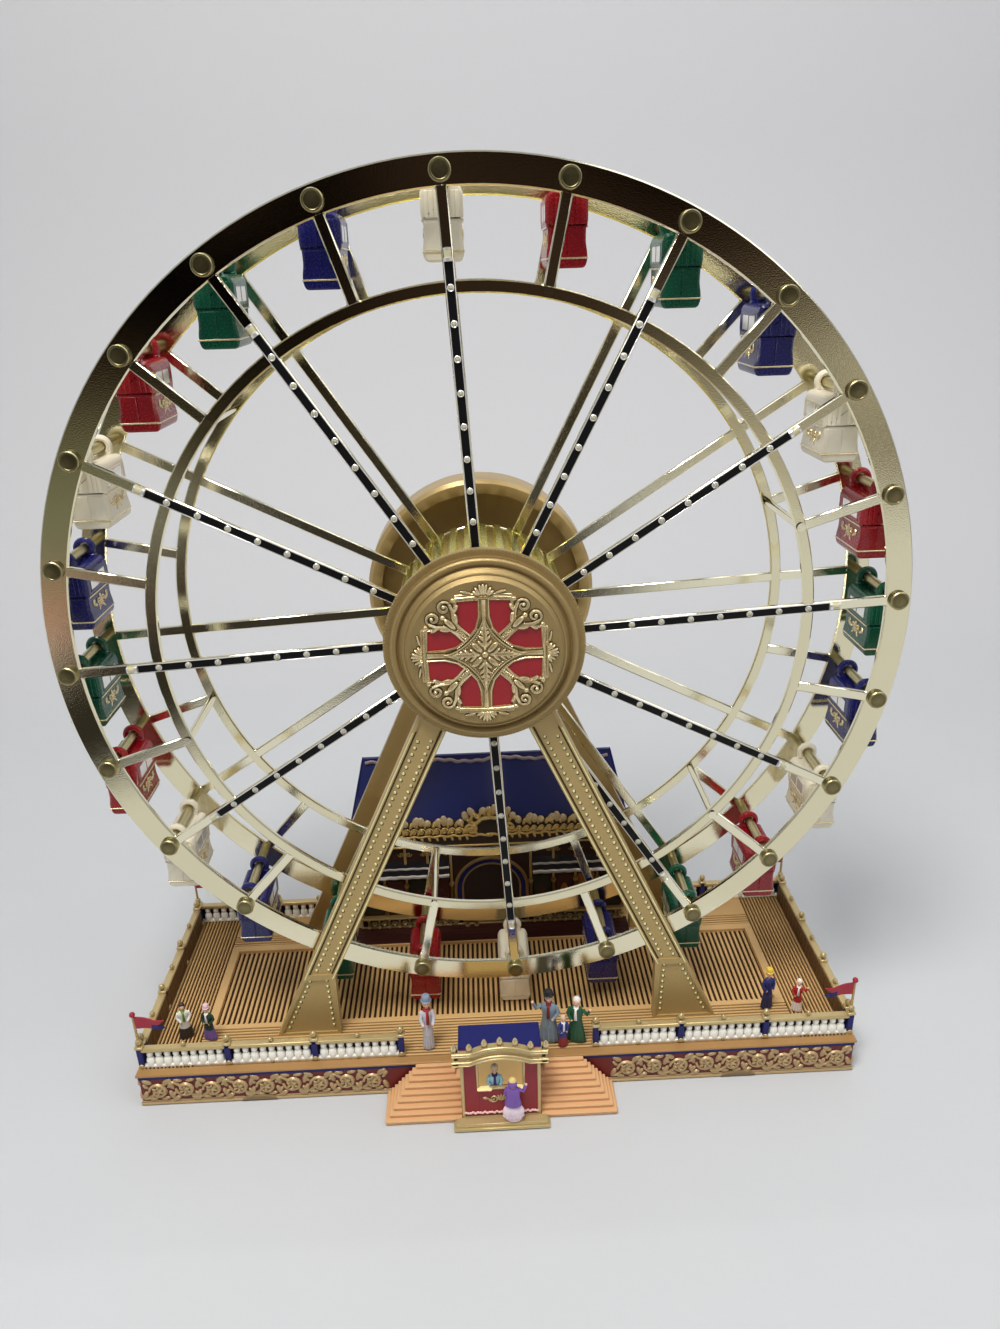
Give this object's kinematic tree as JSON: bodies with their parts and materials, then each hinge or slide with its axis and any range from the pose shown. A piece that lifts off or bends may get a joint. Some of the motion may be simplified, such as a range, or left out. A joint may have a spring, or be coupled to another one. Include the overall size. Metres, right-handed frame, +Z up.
{
  "type": "ferris wheel toy",
  "caption": "Tabletop fairground ferris wheel with hanging gondolas between two spoked wheel halves, A-frame legs, railed deck, ticket booth and pavilion.",
  "frame": {"origin": "on the table, under the middle of the model's bounding box", "axes": "+X to the viewer's right seen from the ticket booth side, +Y towards the back, +Z up; the wheel's axle runs along Y"},
  "size_m": [0.3552, 0.1433, 0.3907],
  "materials": {
    "plated_gold": "bright gold plating on plastic",
    "brass": "satin",
    "steel": "satin",
    "matte_gold": "fine sand texture, gold paint",
    "bush_plastic": "satin",
    "black_plastic": "satin",
    "black_rubber": "matte",
    "red_lens": "translucent red",
    "deck_tan": "satin",
    "fascia_red": "painted, with gold ornament",
    "rail_white": "gloss",
    "flag_red": "painted",
    "booth_red": "painted",
    "navy": "satin paint",
    "stair_salmon": "satin",
    "wall_dark_red": "painted",
    "board_green": "circuit board",
    "figure_paint": "hand painted",
    "gondola_white": "gloss",
    "gondola_red": "gloss",
    "gondola_green": "gloss",
    "gondola_blue": "gloss"
  },
  "bodies": {
    "base": {"front_frame": "matte_gold", "rear_frame": "matte_gold", "axle_bushes": "bush_plastic", "motor_cover": "matte_gold", "hub_cap": "matte_gold", "hub_lens": "red_lens", "gear_motor": "steel", "deck": "deck_tan", "base_chassis": "fascia_red", "bottom_plate": "black_plastic", "screws": "steel", "rubber_feet": "black_rubber", "railings": "rail_white", "corner_flags": "flag_red", "ticket_booth": "booth_red", "booth_cornice": "matte_gold", "booth_roof": "navy", "stairs": "stair_salmon", "pavilion_walls": "wall_dark_red", "pavilion_roof": "navy", "pavilion_cresting": "matte_gold", "circuit_board": "board_green", "speaker": "black_plastic", "figures": "figure_paint"},
    "wheel": {"front_wheel_half": "plated_gold", "rear_wheel_half": "plated_gold", "centre_drum": "plated_gold", "gondola_pins": "brass", "tie_rods": "plated_gold", "light_strips": "black_plastic", "slip_ring": "brass", "main_axle": "steel", "drive_gear": "bush_plastic"},
    "gondola_01": {"gondola_01_white": "gondola_white"},
    "gondola_02": {"gondola_02_red": "gondola_red"},
    "gondola_03": {"gondola_03_green": "gondola_green"},
    "gondola_04": {"gondola_04_blue": "gondola_blue"},
    "gondola_05": {"gondola_05_white": "gondola_white"},
    "gondola_06": {"gondola_06_red": "gondola_red"},
    "gondola_07": {"gondola_07_green": "gondola_green"},
    "gondola_08": {"gondola_08_blue": "gondola_blue"},
    "gondola_09": {"gondola_09_white": "gondola_white"},
    "gondola_10": {"gondola_10_red": "gondola_red"},
    "gondola_11": {"gondola_11_green": "gondola_green"},
    "gondola_12": {"gondola_12_blue": "gondola_blue"},
    "gondola_13": {"gondola_13_white": "gondola_white"},
    "gondola_14": {"gondola_14_red": "gondola_red"},
    "gondola_15": {"gondola_15_green": "gondola_green"},
    "gondola_16": {"gondola_16_blue": "gondola_blue"},
    "gondola_17": {"gondola_17_white": "gondola_white"},
    "gondola_18": {"gondola_18_red": "gondola_red"},
    "gondola_19": {"gondola_19_green": "gondola_green"},
    "gondola_20": {"gondola_20_blue": "gondola_blue"},
    "gondola_21": {"gondola_21_white": "gondola_white"},
    "gondola_22": {"gondola_22_red": "gondola_red"},
    "gondola_23": {"gondola_23_green": "gondola_green"},
    "gondola_24": {"gondola_24_blue": "gondola_blue"},
    "pinion": {"motor_pinion": "bush_plastic"},
    "button": {"song_button": "black_plastic"},
    "knob": {"volume_knob": "black_plastic"}
  },
  "joints": [
    {"name": "wheel_spin", "type": "hinge", "parent": "base", "child": "wheel", "pos_m": [0, 0, 0.2153], "axis": [0, 1, 0], "continuous": true},
    {"name": "gondola_swing_01", "type": "hinge", "parent": "wheel", "child": "gondola_01", "pos_m": [-0.00949, 0.0025, 0.38504], "axis": [0, 1, 0], "continuous": true},
    {"name": "gondola_swing_02", "type": "hinge", "parent": "wheel", "child": "gondola_02", "pos_m": [0.03476, 0.0025, 0.38171], "axis": [0, 1, 0], "continuous": true},
    {"name": "gondola_swing_03", "type": "hinge", "parent": "wheel", "child": "gondola_03", "pos_m": [0.07665, 0.0025, 0.36704], "axis": [0, 1, 0], "continuous": true},
    {"name": "gondola_swing_04", "type": "hinge", "parent": "wheel", "child": "gondola_04", "pos_m": [0.11331, 0.0025, 0.34203], "axis": [0, 1, 0], "continuous": true},
    {"name": "gondola_swing_05", "type": "hinge", "parent": "wheel", "child": "gondola_05", "pos_m": [0.14225, 0.0025, 0.30839], "axis": [0, 1, 0], "continuous": true},
    {"name": "gondola_swing_06", "type": "hinge", "parent": "wheel", "child": "gondola_06", "pos_m": [0.16149, 0.0025, 0.2684], "axis": [0, 1, 0], "continuous": true},
    {"name": "gondola_swing_07", "type": "hinge", "parent": "wheel", "child": "gondola_07", "pos_m": [0.16973, 0.0025, 0.22479], "axis": [0, 1, 0], "continuous": true},
    {"name": "gondola_swing_08", "type": "hinge", "parent": "wheel", "child": "gondola_08", "pos_m": [0.16641, 0.0025, 0.18054], "axis": [0, 1, 0], "continuous": true},
    {"name": "gondola_swing_09", "type": "hinge", "parent": "wheel", "child": "gondola_09", "pos_m": [0.15174, 0.0025, 0.13865], "axis": [0, 1, 0], "continuous": true},
    {"name": "gondola_swing_10", "type": "hinge", "parent": "wheel", "child": "gondola_10", "pos_m": [0.12673, 0.0025, 0.10199], "axis": [0, 1, 0], "continuous": true},
    {"name": "gondola_swing_11", "type": "hinge", "parent": "wheel", "child": "gondola_11", "pos_m": [0.09309, 0.0025, 0.07305], "axis": [0, 1, 0], "continuous": true},
    {"name": "gondola_swing_12", "type": "hinge", "parent": "wheel", "child": "gondola_12", "pos_m": [0.0531, 0.0025, 0.0538], "axis": [0, 1, 0], "continuous": true},
    {"name": "gondola_swing_13", "type": "hinge", "parent": "wheel", "child": "gondola_13", "pos_m": [0.00949, 0.0025, 0.04557], "axis": [0, 1, 0], "continuous": true},
    {"name": "gondola_swing_14", "type": "hinge", "parent": "wheel", "child": "gondola_14", "pos_m": [-0.03476, 0.0025, 0.04889], "axis": [0, 1, 0], "continuous": true},
    {"name": "gondola_swing_15", "type": "hinge", "parent": "wheel", "child": "gondola_15", "pos_m": [-0.07665, 0.0025, 0.06356], "axis": [0, 1, 0], "continuous": true},
    {"name": "gondola_swing_16", "type": "hinge", "parent": "wheel", "child": "gondola_16", "pos_m": [-0.11331, 0.0025, 0.08857], "axis": [0, 1, 0], "continuous": true},
    {"name": "gondola_swing_17", "type": "hinge", "parent": "wheel", "child": "gondola_17", "pos_m": [-0.14225, 0.0025, 0.12221], "axis": [0, 1, 0], "continuous": true},
    {"name": "gondola_swing_18", "type": "hinge", "parent": "wheel", "child": "gondola_18", "pos_m": [-0.16149, 0.0025, 0.1622], "axis": [0, 1, 0], "continuous": true},
    {"name": "gondola_swing_19", "type": "hinge", "parent": "wheel", "child": "gondola_19", "pos_m": [-0.16973, 0.0025, 0.20581], "axis": [0, 1, 0], "continuous": true},
    {"name": "gondola_swing_20", "type": "hinge", "parent": "wheel", "child": "gondola_20", "pos_m": [-0.16641, 0.0025, 0.25006], "axis": [0, 1, 0], "continuous": true},
    {"name": "gondola_swing_21", "type": "hinge", "parent": "wheel", "child": "gondola_21", "pos_m": [-0.15174, 0.0025, 0.29195], "axis": [0, 1, 0], "continuous": true},
    {"name": "gondola_swing_22", "type": "hinge", "parent": "wheel", "child": "gondola_22", "pos_m": [-0.12673, 0.0025, 0.32861], "axis": [0, 1, 0], "continuous": true},
    {"name": "gondola_swing_23", "type": "hinge", "parent": "wheel", "child": "gondola_23", "pos_m": [-0.09309, 0.0025, 0.35755], "axis": [0, 1, 0], "continuous": true},
    {"name": "gondola_swing_24", "type": "hinge", "parent": "wheel", "child": "gondola_24", "pos_m": [-0.0531, 0.0025, 0.37679], "axis": [0, 1, 0], "continuous": true},
    {"name": "pinion_spin", "type": "hinge", "parent": "base", "child": "pinion", "pos_m": [0, 0.053, 0.1833], "axis": [0, 1, 0], "continuous": true},
    {"name": "button_press", "type": "slide", "parent": "base", "child": "button", "axis": [0, -1, 0], "range_m": [0, 0.0015], "stiffness_N_per_m": 300},
    {"name": "knob_turn", "type": "hinge", "parent": "base", "child": "knob", "pos_m": [0.014, 0.069, 0.0091], "axis": [0, 1, 0], "range_deg": [-135, 135]}
  ],
  "couplings": [
    {"joint": "gondola_swing_01", "follows": "wheel_spin", "ratio": -1},
    {"joint": "gondola_swing_02", "follows": "wheel_spin", "ratio": -1},
    {"joint": "gondola_swing_03", "follows": "wheel_spin", "ratio": -1},
    {"joint": "gondola_swing_04", "follows": "wheel_spin", "ratio": -1},
    {"joint": "gondola_swing_05", "follows": "wheel_spin", "ratio": -1},
    {"joint": "gondola_swing_06", "follows": "wheel_spin", "ratio": -1},
    {"joint": "gondola_swing_07", "follows": "wheel_spin", "ratio": -1},
    {"joint": "gondola_swing_08", "follows": "wheel_spin", "ratio": -1},
    {"joint": "gondola_swing_09", "follows": "wheel_spin", "ratio": -1},
    {"joint": "gondola_swing_10", "follows": "wheel_spin", "ratio": -1},
    {"joint": "gondola_swing_11", "follows": "wheel_spin", "ratio": -1},
    {"joint": "gondola_swing_12", "follows": "wheel_spin", "ratio": -1},
    {"joint": "gondola_swing_13", "follows": "wheel_spin", "ratio": -1},
    {"joint": "gondola_swing_14", "follows": "wheel_spin", "ratio": -1},
    {"joint": "gondola_swing_15", "follows": "wheel_spin", "ratio": -1},
    {"joint": "gondola_swing_16", "follows": "wheel_spin", "ratio": -1},
    {"joint": "gondola_swing_17", "follows": "wheel_spin", "ratio": -1},
    {"joint": "gondola_swing_18", "follows": "wheel_spin", "ratio": -1},
    {"joint": "gondola_swing_19", "follows": "wheel_spin", "ratio": -1},
    {"joint": "gondola_swing_20", "follows": "wheel_spin", "ratio": -1},
    {"joint": "gondola_swing_21", "follows": "wheel_spin", "ratio": -1},
    {"joint": "gondola_swing_22", "follows": "wheel_spin", "ratio": -1},
    {"joint": "gondola_swing_23", "follows": "wheel_spin", "ratio": -1},
    {"joint": "gondola_swing_24", "follows": "wheel_spin", "ratio": -1},
    {"joint": "pinion_spin", "follows": "wheel_spin", "ratio": -3}
  ]
}
